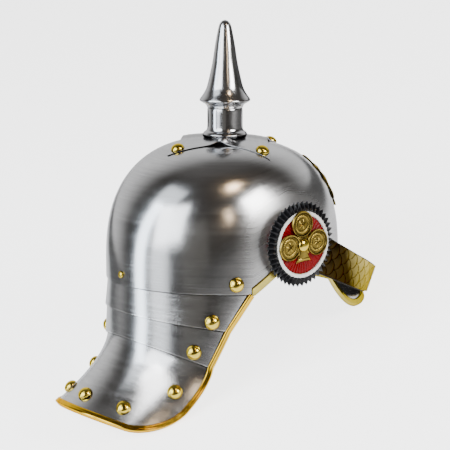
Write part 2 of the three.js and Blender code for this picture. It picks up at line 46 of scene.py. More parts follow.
print("camera")
shot = {"yaw": 38.2, "pitch": 10.2, "distance": 1580, "aim": 45, "lens": 126.4, "sensor": 36, "clip": 50}
yaw, pitch = math.radians(shot["yaw"]), math.radians(shot["pitch"])
back = Vector((-math.sin(yaw) * math.cos(pitch), -math.cos(yaw) * math.cos(pitch), math.sin(pitch)))
right = Vector((math.cos(yaw), -math.sin(yaw), 0))
cameraData = bpy.data.cameras.new("camera")
cameraData.lens = shot["lens"]
cameraData.sensor_width = shot["sensor"]
cameraData.clip_end = shot["clip"]
camera = bpy.data.objects.new("camera", cameraData)
scene.collection.objects.link(camera)
axes = Matrix((right, back.cross(right), back)).transposed().to_4x4()
eye = toRow @ (back * shot["distance"] + Vector((0, 0, shot["aim"])))
camera.matrix_world = Matrix.Translation(eye) @ turn @ axes
scene.camera = camera
towards = (turn.to_3x3() @ back).normalized()  # from the helmet to the camera


def lerp(a, b, t):
    return a + (b - a) * t


def ease(x, low, high):
    t = min(1, max(0, (x - low) / (high - low)))
    return t * t * (3 - 2 * t)


def bent(value, power):
    return math.copysign(abs(value) ** power, value)


print("materials")


def addNode(tree, kind, values=None, **settings):
    node = tree.nodes.new(kind)
    for key, value in settings.items():
        setattr(node, key, value)
    for key, value in (values or {}).items():
        node.inputs[key].default_value = value
    return node


# fine lines on a stretched coordinate and slow clouds on the plain one
def streakGroup():
    tree = bpy.data.node_groups.new("streaks", "ShaderNodeTree")
    tree.interface.new_socket("Vector", in_out="INPUT", socket_type="NodeSocketVector")
    tree.interface.new_socket("Stretch", in_out="INPUT", socket_type="NodeSocketVector")
    tree.interface.new_socket("Cloud Scale", in_out="INPUT", socket_type="NodeSocketFloat")
    tree.interface.new_socket("Line", in_out="OUTPUT", socket_type="NodeSocketFloat")
    tree.interface.new_socket("Cloud", in_out="OUTPUT", socket_type="NodeSocketFloat")
    entry = addNode(tree, "NodeGroupInput")
    leave = addNode(tree, "NodeGroupOutput")
    pull = addNode(tree, "ShaderNodeVectorMath", operation="MULTIPLY")
    line = addNode(tree, "ShaderNodeTexNoise", {"Scale": 1.0, "Detail": 5.0, "Roughness": 0.65})
    cloud = addNode(tree, "ShaderNodeTexNoise", {"Detail": 4.0, "Roughness": 0.55})
    tree.links.new(entry.outputs["Vector"], pull.inputs[0])
    tree.links.new(entry.outputs["Stretch"], pull.inputs[1])
    tree.links.new(pull.outputs[0], line.inputs["Vector"])
    tree.links.new(entry.outputs["Vector"], cloud.inputs["Vector"])
    tree.links.new(entry.outputs["Cloud Scale"], cloud.inputs["Scale"])
    tree.links.new(line.outputs["Fac"], leave.inputs["Line"])
    tree.links.new(cloud.outputs["Fac"], leave.inputs["Cloud"])
    return tree


streaks = streakGroup()


# a value spread from low..high onto start..end
def spread(tree, value, low, high, start=0.0, end=1.0, **settings):
    limits = {"From Min": low, "From Max": high, "To Min": start, "To Max": end}
    node = addNode(tree, "ShaderNodeMapRange", limits, **settings)
    tree.links.new(value, node.inputs["Value"])
    return node.outputs[0]


def axisOf(tree, vector, axis):
    node = addNode(tree, "ShaderNodeSeparateXYZ")
    tree.links.new(vector, node.inputs[0])
    return node.outputs[axis]


# how far a vector reaches in a direction
def reachOf(tree, vector, direction):
    node = addNode(tree, "ShaderNodeVectorMath", operation="DOT_PRODUCT")
    node.inputs[1].default_value = direction
    tree.links.new(vector, node.inputs[0])
    return node.outputs["Value"]


# each of the values is a number or another node's output
def calculate(tree, operation, *values):
    node = addNode(tree, "ShaderNodeMath", operation=operation)
    for socket, value in zip(node.inputs, values):
        if isinstance(value, (int, float)):
            socket.default_value = value
        else:
            tree.links.new(value, socket)
    return node.outputs[0]


# paint where clear is 0, the tone under it where clear is 1
def paintOver(tree, tone, paint, clear):
    node = addNode(tree, "ShaderNodeMix", {"A": (*paint, 1)}, data_type="RGBA")
    tree.links.new(clear, node.inputs["Factor"])
    tree.links.new(tone, node.inputs["B"])
    return node.outputs["Result"]


def between(tree, first, second, share):
    node = addNode(tree, "ShaderNodeMix", {"A": (*first, 1), "B": (*second, 1)}, data_type="RGBA")
    tree.links.new(share, node.inputs["Factor"])
    return node.outputs["Result"]


grain = {"roughFrom": 0.3, "roughTo": 0.7, "toneFrom": 0.32, "toneTo": 0.6, "lineShare": 0.5}
# settings of the painted shade in hollows, the painted highlight on flute ridges and the bare cockade backs
paintedLightAndBare = {
    "hollowShadeSamples": 8, "hollowShadeRange": (0.35, 0.9), "ridgeHighlightWidth": (0.02, 0.15),
    "bareFrom": -0.03, "bareTo": -0.01,
}


# a look holds the two colours, roughness, line stretch and bump of a finish, its duller and bare areas, and
# the painted shade, highlights and reflection it carries
def makeMaterial(name, look):
    mat = bpy.data.materials.new(name)
    mat.use_nodes = True
    tree = mat.node_tree
    shader = tree.nodes["Principled BSDF"]
    coords = addNode(tree, "ShaderNodeTexCoord")
    place, chart, facing = (coords.outputs[key] for key in ("Object", "UV", "Normal"))
    lines = addNode(tree, "ShaderNodeGroup", node_tree=streaks)
    lines.inputs["Stretch"].default_value = look["stretch"]
    lines.inputs["Cloud Scale"].default_value = look["cloud"]
    if look.get("uv"):
        tree.links.new(chart, lines.inputs["Vector"])
    else:
        upright = addNode(tree, "ShaderNodeMapping", {"Rotation": (0, -math.radians(stand["tilt"]), 0)})
        tree.links.new(place, upright.inputs["Vector"])
        tree.links.new(upright.outputs["Vector"], lines.inputs["Vector"])
    part = look.get("lineShare", grain["lineShare"])
    cloud = calculate(tree, "MULTIPLY", lines.outputs["Cloud"], 1 - part)
    blend = calculate(tree, "MULTIPLY_ADD", lines.outputs["Line"], part, cloud)
    rough = spread(tree, blend, grain["roughFrom"], grain["roughTo"], *look["rough"])
    if look.get("dull"):  # less polish round the cockades
        x, y, z = look["dull"]
        distances = []
        for side in (1, -1):
            away = addNode(tree, "ShaderNodeVectorMath", operation="DISTANCE")
            away.inputs[1].default_value = (x, side * y, z)
            tree.links.new(place, away.inputs[0])
            distances.append(away.outputs["Value"])
        nearest = calculate(tree, "MINIMUM", *distances)
        haze = spread(tree, nearest, *look["dullRange"], look["dullRough"], 0.0)
        rough = calculate(tree, "ADD", rough, haze)
    tree.links.new(rough, shader.inputs["Roughness"])
    ramp = addNode(tree, "ShaderNodeValToRGB")
    ramp.color_ramp.elements[0].position = grain["toneFrom"]
    ramp.color_ramp.elements[0].color = (*look["dark"], 1)
    ramp.color_ramp.elements[1].position = grain["toneTo"]
    ramp.color_ramp.elements[1].color = (*look["colour"], 1)
    tree.links.new(blend, ramp.inputs["Fac"])
    tone = ramp.outputs["Color"]
    if look.get("hollowShade"):  # painted shade darkening the hollows and the gaps under plate edges
        reach = {"Distance": look["hollowShadeReach"]}
        nook = addNode(tree, "ShaderNodeAmbientOcclusion", reach, samples=paintedLightAndBare["hollowShadeSamples"])
        clear = spread(tree, nook.outputs["AO"], *look.get("hollowShadeRange", paintedLightAndBare["hollowShadeRange"]))
        tone = paintOver(tree, tone, look["hollowShade"], clear)
    for low, high, paint in look.get("lapShading", []):  # painted shade below the plate above, a painted highlight on its own lower edge
        tone = paintOver(tree, tone, paint, spread(tree, axisOf(tree, chart, "Y"), low, high))
    if look.get("ridges"):  # painted highlight along the ridges of the flutes
        turns = calculate(tree, "MULTIPLY", axisOf(tree, chart, "X"), look["ridges"])
        fold = calculate(tree, "PINGPONG", turns, 0.5)
        tone = paintOver(tree, tone, look["ridgeHighlight"], spread(tree, fold, *paintedLightAndBare["ridgeHighlightWidth"]))
    if look.get("darkReflection"):  # painted dark reflection, browner towards the back
        clear = spread(tree, axisOf(tree, place, "X"), look["darkReflectionFrom"], look["darkReflectionTo"])
        tone = paintOver(tree, tone, look["darkReflection"], clear)
    shader.inputs["Metallic"].default_value = look["metal"]
    if look.get("bare"):  # lacquer on the outer face only, metal towards the helmet
        outward = calculate(tree, "MULTIPLY", axisOf(tree, place, "Y"), axisOf(tree, facing, "Y"))
        lacquer = spread(tree, outward, paintedLightAndBare["bareFrom"], paintedLightAndBare["bareTo"])
        tone = paintOver(tree, tone, look["bare"], lacquer)
        tree.links.new(calculate(tree, "SUBTRACT", 1.0, lacquer), shader.inputs["Metallic"])
    tree.links.new(tone, shader.inputs["Base Color"])
    shader.inputs["Specular IOR Level"].default_value = look.get("shine", 0.5)
    shader.inputs["Specular Tint"].default_value = (*look.get("edge", (1, 1, 1)), 1)  # at grazing angles
    bump = addNode(tree, "ShaderNodeBump", {"Strength": look["bump"], "Distance": look["bumpHeight"]})
    tree.links.new(blend, bump.inputs["Height"])
    tree.links.new(bump.outputs[0], shader.inputs["Normal"])
    return mat


flutes = 46  # round a cockade, in its shape and in the painted highlights on its ridges
steelLook = {
    "colour": (0.58, 0.58, 0.585), "dark": (0.42, 0.42, 0.425), "rough": (0.12, 0.26), "metal": 1,
    "uv": True, "stretch": (5, 260, 1), "cloud": 9, "lineShare": 0.6, "bump": 0.22, "bumpHeight": 0.0002,
    # painted shade in the hollows and under the plate edges
    "hollowShade": (0.02, 0.019, 0.018), "hollowShadeReach": 0.0018, "hollowShadeRange": (0.5, 0.85),
    "edge": (0.66, 0.66, 0.67),
    "dull": (0.048, 0.1, 0.113), "dullRough": 0.11, "dullRange": (0.046, 0.066),
}
# painted shade and highlight bands down a plate: from, to, colour
lapShade = (0.02, 0.055, (0.02, 0.019, 0.018))
lapHighlight = (0.985, 0.96, (0.9, 0.9, 0.9))
# the lames carry the painted lap shade and highlight, the guard only the painted lap shade
lameLook = {**steelLook, "dull": None, "lapShading": [lapShade, lapHighlight]}
guardLook = {**steelLook, "dull": None, "lapShading": [lapShade]}
spikeLook = {
    "colour": (0.55, 0.55, 0.56), "dark": (0.44, 0.44, 0.45), "rough": (0.12, 0.23), "metal": 1,
    "stretch": (30, 30, 2400), "cloud": 60, "lineShare": 0.6, "bump": 0.06, "bumpHeight": 0.0001,
    "edge": (0.55, 0.55, 0.56),
}
brassLook = {
    "colour": (0.74, 0.56, 0.09), "dark": (0.60, 0.44, 0.06), "rough": (0.1, 0.2), "metal": 1,
    "stretch": (220, 220, 220), "cloud": 90, "bump": 0.05, "bumpHeight": 0.0001, "edge": (0.8, 0.62, 0.2),
}
trimLook = {
    "colour": (0.74, 0.46, 0.04), "dark": (0.56, 0.33, 0.025), "rough": (0.10, 0.22), "metal": 1,
    "stretch": (160, 160, 420), "cloud": 70, "bump": 0.08, "bumpHeight": 0.0001, "edge": (0.8, 0.55, 0.12),
}
sideLook = {
    "colour": (0.56, 0.46, 0.11), "dark": (0.40, 0.33, 0.08), "rough": (0.16, 0.3), "metal": 1,
    "stretch": (120, 120, 500), "cloud": 60, "bump": 0.08, "bumpHeight": 0.0001, "edge": (0.5, 0.42, 0.14),
}
agedLook = {
    "colour": (0.35, 0.25, 0.055), "dark": (0.28, 0.2, 0.044), "rough": (0.2, 0.3), "metal": 1,
    "stretch": (240, 240, 240), "cloud": 110, "bump": 0.05, "bumpHeight": 0.0002,
    # painted shade in the hollows of the medals
    "hollowShade": (0.05, 0.033, 0.009), "hollowShadeReach": 0.0028, "hollowShadeRange": (0.45, 0.95),
    "edge": (0.45, 0.34, 0.1),
}
scaleLook = {
    "colour": (0.57, 0.47, 0.17), "dark": (0.41, 0.33, 0.11), "rough": (0.12, 0.24), "metal": 1,
    "stretch": (300, 300, 300), "cloud": 120, "bump": 0.08, "bumpHeight": 0.0001,
    # painted shade between the scales
    "hollowShade": (0.03, 0.02, 0.008), "hollowShadeReach": 0.0022, "edge": (0.45, 0.38, 0.15),
    # painted dark reflection on the scales near the cockades
    "darkReflection": (0.024, 0.015, 0.005), "darkReflectionFrom": 0.1, "darkReflectionTo": 0.134,
}
blackLook = {
    "colour": (0.008, 0.008, 0.009), "dark": (0.005, 0.005, 0.006), "rough": (0.08, 0.17), "metal": 0,
    "stretch": (200, 200, 200), "cloud": 80, "bump": 0.08, "bumpHeight": 0.0002, "shine": 0.13,
    # painted highlight colour on the flute ridges
    "bare": (0.5, 0.49, 0.47), "ridges": flutes, "ridgeHighlight": (0.03, 0.03, 0.033),
}
whiteLook = {
    "colour": (0.9, 0.895, 0.87), "dark": (0.84, 0.83, 0.79), "rough": (0.32, 0.46), "metal": 0,
    "stretch": (260, 260, 260), "cloud": 90, "bump": 0.1, "bumpHeight": 0.0002,
}
redLook = {
    "colour": (0.23, 0.001, 0.003), "dark": (0.14, 0.001, 0.002), "rough": (0.2, 0.32), "metal": 0,
    "stretch": (260, 260, 260), "cloud": 90, "bump": 0.1, "bumpHeight": 0.0002, "shine": 0.11,
}
leatherLook = {
    "colour": (0.022, 0.017, 0.014), "dark": (0.010, 0.008, 0.007), "rough": (0.45, 0.65), "metal": 0,
    "stretch": (700, 700, 700), "cloud": 160, "bump": 0.5, "bumpHeight": 0.0003, "shine": 0.15,
}
steelMat = makeMaterial("brushedSteel", steelLook)
lameMat = makeMaterial("lameSteel", lameLook)
guardMat = makeMaterial("guardSteel", guardLook)
spikeMat = makeMaterial("polishedSteel", spikeLook)
brassMat = makeMaterial("studBrass", brassLook)
trimMat = makeMaterial("trimBrass", trimLook)
sideMat = makeMaterial("sideBrass", sideLook)
agedMat = makeMaterial("agedBrass", agedLook)
scaleMat = makeMaterial("scaleBrass", scaleLook)
blackMat = makeMaterial("blackLacquer", blackLook)
whiteMat = makeMaterial("whiteLacquer", whiteLook)
redMat = makeMaterial("redLacquer", redLook)
leatherMat = makeMaterial("strapLeather", leatherLook)


# a grid whose points are carried onto a surface; the grid's own place is kept as UV
def addSheet(bm, columns, rows, surface, label=None):
    verts = bmesh.ops.create_grid(bm, x_segments=columns, y_segments=rows, size=0.5)["verts"]
    layer = bm.loops.layers.uv.verify()
    where = {v: (v.co.x + 0.5, v.co.y + 0.5) for v in verts}
    for face in {f for v in verts for f in v.link_faces}:
        for loop in face.loops:
            loop[layer].uv = label(*where[loop.vert]) if label else where[loop.vert]
    for v in verts:
        v.co = surface(*where[v])
    return verts


# a profile of (r, z) drawn out point by point and spun about z
def addTurned(bm, profile, steps):
    before = set(bm.verts)
    last = bmesh.ops.create_vert(bm, co=(profile[0][0], 0, profile[0][1]))["vert"][0]
    geom = [last]
    for r, z in profile[1:]:
        step = bmesh.ops.extrude_vert_indiv(bm, verts=[last])
        last = step["verts"][0]
        last.co = (r, 0, z)
        geom += [last, *step["edges"]]
    full = 2 * math.pi
    bmesh.ops.spin(bm, geom=geom, cent=(0, 0, 0), axis=(0, 0, 1), angle=full, steps=steps, use_merge=True)
    made = [v for v in bm.verts if v not in before]
    bmesh.ops.remove_doubles(bm, verts=made, dist=1e-4)
    return [v for v in bm.verts if v not in before]


# corners of a profile eased into short curves
def roundProfile(points, share=0.35, steps=5):
    out = [points[0]]
    for a, b, c in zip(points, points[1:], points[2:]):
        start = [lerp(b[i], a[i], share) for i in (0, 1)]
        end = [lerp(b[i], c[i], share) for i in (0, 1)]
        for k in range(steps + 1):
            t = k / steps
            out.append(tuple(lerp(lerp(start[i], b[i], t), lerp(b[i], end[i], t), t) for i in (0, 1)))
    out.append(points[-1])
    return out


# turns the faces away from a point inside
def faceOut(bm, inner):
    centre = Vector(inner)
    bm.normal_update()
    if sum(f.normal.dot(f.calc_center_median() - centre) * f.calc_area() for f in bm.faces) < 0:
        bmesh.ops.reverse_faces(bm, faces=bm.faces)


bevels = {"segments": 2, "angle": 50}


# sets a piece down in the shared frame, in place of the CAD node of its name
def finishPiece(name, bm, mat, wall=0, bevel=0, sharp=35, recalc=True):
    if recalc:
        bmesh.ops.recalc_face_normals(bm, faces=bm.faces)
    bmesh.ops.transform(bm, matrix=toRow, verts=bm.verts)
    mesh = bpy.data.meshes.new(name + "_visual")
    bm.to_mesh(mesh)
    bm.free()
    mesh.shade_smooth()
    mesh.set_sharp_from_angle(angle=math.radians(sharp))
    mesh.materials.append(mat)
    obj = bpy.data.objects.new(name + "_visual", mesh)
    scene.collection.objects.link(obj)
    if wall:
        shell = obj.modifiers.new("wall", "SOLIDIFY")
        shell.thickness = wall / 1000
        shell.offset = -1
    if bevel:
        edge = obj.modifiers.new("edge", "BEVEL")
        edge.width = bevel / 1000
        edge.segments = bevels["segments"]
        edge.limit_method = "ANGLE"
        edge.angle_limit = math.radians(bevels["angle"])
        even = obj.modifiers.new("normals", "WEIGHTED_NORMAL")
        even.keep_sharp = True
    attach(obj, "root")
    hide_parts(name)
    return obj


print("skull")
skull = {
    "centre": -2, "reach": 124, "halfWidth": 101.5, "equator": 15, "height": 118,
    "power": 2.4, "sidePower": 0.55,
    "edge": [(-127, 1), (-41, -3.5), (4, 28), (30, 24), (123, 14)],  # x, z along the lower edge
    "wall": 1.0, "columns": 192, "rows": 56, "rowPower": 0.85,
}


def skullPower(angle):
    return skull["power"] + skull["sidePower"] * math.sin(angle) ** 2


def skullRadius(angle, z, inset=0):
    rise = max(0, (z - skull["equator"]) / (skull["height"] - inset))
    power = skullPower(angle)
    return max(0, 1 - rise**power) ** (1 / power)


def skullEdgeAt(x):
    for a, b in zip(skull["edge"], skull["edge"][1:]):
        if x <= b[0]:
            return lerp(a[1], b[1], (x - a[0]) / (b[0] - a[0]))
    return skull["edge"][-1][1]


def skullPoint(angle, z, inset=0):
    scale = skullRadius(angle, z, inset)
    x = skull["centre"] + (skull["reach"] - inset) * scale * math.cos(angle)
    return Vector((x, (skull["halfWidth"] - inset) * scale * math.sin(angle), z))


def skullTop(x, y, lift):
    u, v = (x - skull["centre"]) / skull["reach"], y / skull["halfWidth"]
    power = skullPower(math.atan2(v, u))
    return skull["equator"] + skull["height"] * (1 - math.hypot(u, v) ** power) ** (1 / power) + lift


def skullNormal(x, y, z):
    u, v = (x - skull["centre"]) / skull["reach"], y / skull["halfWidth"]
    rise = max(0, (z - skull["equator"]) / skull["height"])
    power = skullPower(math.atan2(v, u))
    pull = math.hypot(u, v) ** (power - 2)
    slope = rise ** (power - 1) / skull["height"]
    return Vector((pull * u / skull["reach"], pull * v / skull["halfWidth"], slope)).normalized()


def skullSurface(u, v):
    angle = 2 * math.pi * u
    edge = skullEdgeAt(skull["centre"] + skull["reach"] * math.cos(angle))
    top = skull["equator"] + skull["height"]
    down = 1 - math.cos(math.pi / 2 * (1 - v)) ** skull["rowPower"]
    return skullPoint(angle, lerp(top, edge, down))


bm = bmesh.new()
verts = addSheet(bm, skull["columns"], skull["rows"], skullSurface)
bmesh.ops.remove_doubles(bm, verts=verts, dist=1e-3)
faceOut(bm, (0, 0, 40))
finishPiece("skull", bm, steelMat, wall=skull["wall"], bevel=0.25, recalc=False)

print("nape plates")
nape = {
    "rows": [  # centre, reach, half width, edge angle, z at the back, z at the side
        (-2, 124, 101.5, 71.7, 1, -3.5),
        (-35, 91, 92, 72, -25.5, -38),
        (-35, 91, 92, 61, -50, -72.5),
        (-85, 100, 94, 57, -110, -131),
    ],
    "flare": 1.7, "cornerStart": 0.66, "cornerDrop": 0.36, "tuck": 2.0, "overlap": 0.24, "wall": 1.0,
    "evenShare": 0.55, "sideWeight": 0.3, "columns": 120,
}


def napePoint(t, row):
    i = min(2, max(0, math.floor(row)))
    f = row - i
    a, b = nape["rows"][i], nape["rows"][i + 1]
    plan = max(0, f) ** (nape["flare"] if i == 2 else 1)
    edge = math.radians(lerp(a[3], b[3], max(0, f)))
    angle = t * edge
    fan = (1 - math.cos(angle)) / (1 - math.cos(edge))
    x = lerp(a[0], b[0], plan) - lerp(a[1], b[1], plan) * math.cos(angle)
    y = lerp(a[2], b[2], plan) * math.sin(angle)
    return Vector((x, y, lerp(lerp(a[4], b[4], f), lerp(a[5], b[5], f), fan)))


def normalOf(surface, u, v):
    step = 0.002
    across = surface(u + step, v) - surface(u - step, v)
    return across.cross(surface(u, v + step) - surface(u, v - step)).normalized()


def napeNormal(t, row):
    normal = normalOf(napePoint, t, row)
    return -normal if abs(normal.y) * nape["sideWeight"] < normal.x else normal


def napeRim(t):
    q = max(0, (abs(t) - nape["cornerStart"]) / (1 - nape["cornerStart"]))
    return 3 - nape["cornerDrop"] * (1 - math.sqrt(1 - min(1, q * q)))


def napeColumn(u):  # closer together round the lower corners
    side = 2 * u - 1
    part = abs(side)
    start, even = nape["cornerStart"], nape["evenShare"]
    t = start * part / even
    if part > even:
        t = lerp(start, 1, math.sin((part - even) / (1 - even) * math.pi / 2))
    return math.copysign(t, side)


def napeSurface(top, bottom):
    def surface(u, v):
        t = napeColumn(u)
        row = lerp(top, napeRim(t) if bottom > 2 else bottom, v)
        return napePoint(t, row) - napeNormal(t, row) * nape["tuck"] * (1 - v)

    return surface


# UV down a plate: 0 at the edge of the plate above it
def napeLabel(top, bottom):
    def label(u, v):
        row = lerp(top, napeRim(napeColumn(u)) if bottom > 2 else bottom, v)
        return u, (row - bottom + 1) * (2 if bottom > 2 else 1)

    return label


napePieces = {}
for name, top, bottom, rows, mat in [
    ("neck_lame_upper", -nape["overlap"], 1, 44, lameMat),
    ("neck_lame_middle", 1 - nape["overlap"], 2, 44, lameMat),
    ("neck_guard", 2 - nape["overlap"] / 2, 3, 40, guardMat),
]:
    bm = bmesh.new()
    addSheet(bm, nape["columns"], rows, napeSurface(top, bottom), napeLabel(top, bottom))
    faceOut(bm, (40, 0, 0))
    napePieces[name] = finishPiece(name, bm, mat, wall=nape["wall"], bevel=0.18, recalc=False)

print("bindings")


# stations are (point, normal) along an edge; the section is (outward, normal) offsets
def addBinding(bm, stations, section):
    count = len(stations) - 1
    sides = len(section)

    def surface(u, v):
        i = round(u * count)
        j = round(v * sides) % sides
        point, normal = stations[i]
        along = stations[min(count, i + 1)][0] - stations[max(0, i - 1)][0]
        out = along.cross(normal).normalized()
        return point + out * section[j][0] + normal * section[j][1]

    verts = addSheet(bm, count, sides, surface)
    bmesh.ops.remove_doubles(bm, verts=verts, dist=1e-4)
    bmesh.ops.holes_fill(bm, edges=bm.edges, sides=0)


# a channel over both faces of a plate with a rolled outer edge
def channelSection(look):
    f, n, b, p, lip, m = (look[k] for k in ("flange", "inner", "below", "play", "lip", "metal"))
    low = -b - p
    return [
        (-f, p), (-f, p + m * 0.5), (-f + 0.5, p + m * 0.85), (-f + 1.1, p + m), (-f * 0.45, p + m),
        (-f * 0.3, p + m * 0.9), (-f * 0.12, p + m), (lip - 1.0, p + m), (lip - 0.35, p + m * 0.7),
        (lip, p + m * 0.1), (lip, low - m * 0.3), (lip - 0.3, low - m * 0.8), (lip - 0.9, low - m),
        (-n, low - m), (-n, low), (0.35, low), (0.35, p),
    ]


neckTrim = {
    "flange": 4.2, "inner": 4.2, "below": 3.0, "play": 0.35, "lip": 1.5, "metal": 1.0,
    "sideFrom": 0.04, "sideTo": 2.62, "sideSteps": 60, "rimSteps": 120,
}
steps = neckTrim["sideSteps"]
down = [(1, lerp(neckTrim["sideFrom"], neckTrim["sideTo"], i / steps)) for i in range(steps)]
rim = [napeColumn(1 - i / neckTrim["rimSteps"]) for i in range(neckTrim["rimSteps"] + 1)]
edgeWay = down + [(t, napeRim(t)) for t in rim] + [(-t, row) for t, row in reversed(down)]
bm = bmesh.new()
addBinding(bm, [(napePoint(*p), napeNormal(*p)) for p in edgeWay], channelSection(neckTrim))
finishPiece("neck_trim", bm, trimMat, sharp=60)

sideTrim = {
    "section": [(-6.4, 0.35), (-6.4, 0.9), (-5.6, 1.35), (-4.6, 1.1), (0.6, 1.1), (1.4, 0.5), (1.4, -1.0),
                (0.4, -1.0), (0.4, 0.35)],
    "steps": 60, "past": 2,
}
rear, front = skull["edge"][1][0] - sideTrim["past"], skull["edge"][3][0]
for suffix, side, start, end in [("right", -1, rear, front), ("left", 1, front, rear)]:
    stations = []
    for i in range(sideTrim["steps"] + 1):
        x = lerp(start, end, i / sideTrim["steps"])
        angle = side * math.acos((x - skull["centre"]) / skull["reach"])
        point = skullPoint(angle, skullEdgeAt(x))
        stations.append((point, skullNormal(point.x, point.y, 0)))
    bm = bmesh.new()
    addBinding(bm, stations, sideTrim["section"])
    finishPiece("skull_trim_" + suffix, bm, sideMat, sharp=30)

print("visor")
visor = {
    "rootAngle": 52, "rimAngle": 83, "rimCentre": 20, "rimReach": 123, "rimHalfWidth": 95.5, "squareness": 3,
    "lowX": 104, "lowZ": -35, "rearRise": 33, "rearRun": 46, "frontRise": 9, "frontRun": 42,
    "tuck": 7, "tuckShare": 0.12, "inset": 2.3, "wall": 1.0, "columns": 120, "rows": 25, "evenShare": 0.45,
}
visorTrim = {"flange": 5.4, "inner": 2.5, "below": 1.0, "play": 0.6, "lip": 1.5, "metal": 1.0}


def visorColumn(u):
    s = 2 * u - 1
    return lerp(math.sin(s * math.pi / 2), s, visor["evenShare"])


def visorRim(t):
    angle = math.radians(visor["rimAngle"] * t)
    power = 2 / visor["squareness"]
    x = visor["rimCentre"] + visor["rimReach"] * math.cos(angle) ** power
    y = visor["rimHalfWidth"] * bent(math.sin(angle), power)
    rear = visor["rearRise"] * (max(0, visor["lowX"] - x) / visor["rearRun"]) ** 2
    front = visor["frontRise"] * (max(0, x - visor["lowX"]) / visor["frontRun"]) ** 2
    return Vector((x, y, visor["lowZ"] + rear + front))


def visorRoot(t):
    angle = math.radians(visor["rootAngle"] * t)
    edge = skullEdgeAt(skull["centre"] + skull["reach"] * math.cos(angle))
    return skullPoint(angle, edge, visor["inset"])


def visorPoint(t, w):
    return visorRoot(t).lerp(visorRim(t), w)


def visorNormal(t, w):
    normal = normalOf(visorPoint, t, w)
    point = visorPoint(t, w)
    return -normal if normal.x * point.x + normal.y * point.y < 0 else normal


def visorSurface(u, v):
    t = visorColumn(u)
    tuck = visor["tuckShare"]
    if v < tuck:
        return visorRoot(t) + Vector((0, 0, visor["tuck"] * (1 - v / tuck)))
    return visorPoint(t, (v - tuck) / (1 - tuck))


bm = bmesh.new()
addSheet(bm, visor["columns"], visor["rows"], visorSurface)
faceOut(bm, (40, 0, -60))
finishPiece("visor", bm, steelMat, wall=visor["wall"], bevel=0.2, recalc=False)
bm = bmesh.new()
columns = [visorColumn(i / visor["columns"]) for i in range(visor["columns"] + 1)]
addBinding(bm, [(visorPoint(t, 1), visorNormal(t, 1)) for t in columns], channelSection(visorTrim))
finishPiece("visor_trim", bm, sideMat, sharp=60)

print("spike")
spike = {
    "outer": [(0, 249), (3.2, 247.8), (5.4, 245), (6.6, 241.5), (9.8, 225), (12.4, 207), (16.2, 190),
              (18.2, 182.5), (21, 177), (25.1, 171.4), (25.1, 169.8), (18.8, 166.2), (17.6, 163.2)],
    "inner": [(16.2, 163.2), (16.2, 180), (11.2, 207), (5.2, 241), (0, 245.5)],
    "neck": [(16.2, 162.6), (17.6, 162.6), (17.6, 143), (18.6, 140.4),
             (20.6, 139.2), (22.3, 137), (20.9, 135.6), (16.2, 135.6)],
    "steps": 96,
}
bm = bmesh.new()
addTurned(bm, roundProfile(spike["outer"]) + spike["inner"], spike["steps"])
finishPiece("spike", bm, spikeMat, sharp=40)
bm = bmesh.new()
addTurned(bm, roundProfile(spike["neck"], 0.3) + [spike["neck"][0]], spike["steps"])
finishPiece("spike_neck", bm, spikeMat, sharp=50)

base = {"tip": 71, "valley": 42, "hole": 15, "wall": 0.9, "lift": 0.15, "archRise": 3.5, "archWidth": 7.5,
        "archFrom": 6, "archTo": 20, "columns": 160, "rows": 30}


def starReach(angle):
    near = angle % (math.pi / 2)
    near = min(near, math.pi / 2 - near)
    inner = base["valley"] * math.sqrt(0.5)
    run = base["tip"] - inner
    return base["tip"] * inner / (inner * math.cos(near) + run * math.sin(near))


def baseSurface(u, v):
    angle = 2 * math.pi * u
    r = lerp(base["hole"], starReach(angle), v)
    x, y = r * math.cos(angle), r * math.sin(angle)
    across = (abs(x) - abs(y)) / math.sqrt(2)
    along = ease((abs(x) + abs(y)) / math.sqrt(2), base["archFrom"], base["archTo"])
    arch = base["archRise"] * along * math.exp(-((across / base["archWidth"]) ** 2))
    return Vector((x, y, skullTop(x, y, base["lift"] + base["wall"] + arch)))


bm = bmesh.new()
verts = addSheet(bm, base["columns"], base["rows"], baseSurface)
bmesh.ops.remove_doubles(bm, verts=verts, dist=1e-3)
faceOut(bm, (0, 0, 0))
finishPiece("spike_base", bm, steelMat, wall=base["wall"], bevel=0.2, recalc=False)

print("studs")
stud = {"radius": 7, "height": 5.6, "steps": 40, "rings": 14, "foot": 0.98}
baseStud = {"radius": 6.5, "height": 5, "from": 58, "stand": 1.2}
rivet = {"radius": 3.3, "height": 2, "z": 11, "stand": 0.5}
napeStuds = [  # name, t, row, stand
    ("lame_upper_stud", 0.82, 0.8, 0.5),
    ("lame_middle_stud", 0.79, 1.74, 0.5),
    ("guard_stud_side", 0.79, 2.47, -0.1),
    ("guard_stud_rear", 0.5, 2.82, 0.2),
    ("guard_stud_back", 0, 2.83, 0.5),
]
skullStud = {"x": -57.6, "z": 7, "stand": 0.5}


def domeProfile(radius, height):
    points = []
    for i in range(stud["rings"] + 1):
        a = math.pi / 2 * i / stud["rings"]
        points.append((radius * math.sin(a), height * math.cos(a)))
    return points + [(radius * stud["foot"], 0), (0, 0)]


def addStud(name, point, normal, size, lift):
    bm = bmesh.new()
    verts = addTurned(bm, domeProfile(size["radius"], size["height"]), stud["steps"])
    seat = Matrix.Translation(point + normal * lift) @ normal.to_track_quat("Z", "Y").to_matrix().to_4x4()
    bmesh.ops.transform(bm, matrix=seat, verts=verts)
    finishPiece(name, bm, brassMat, sharp=40)


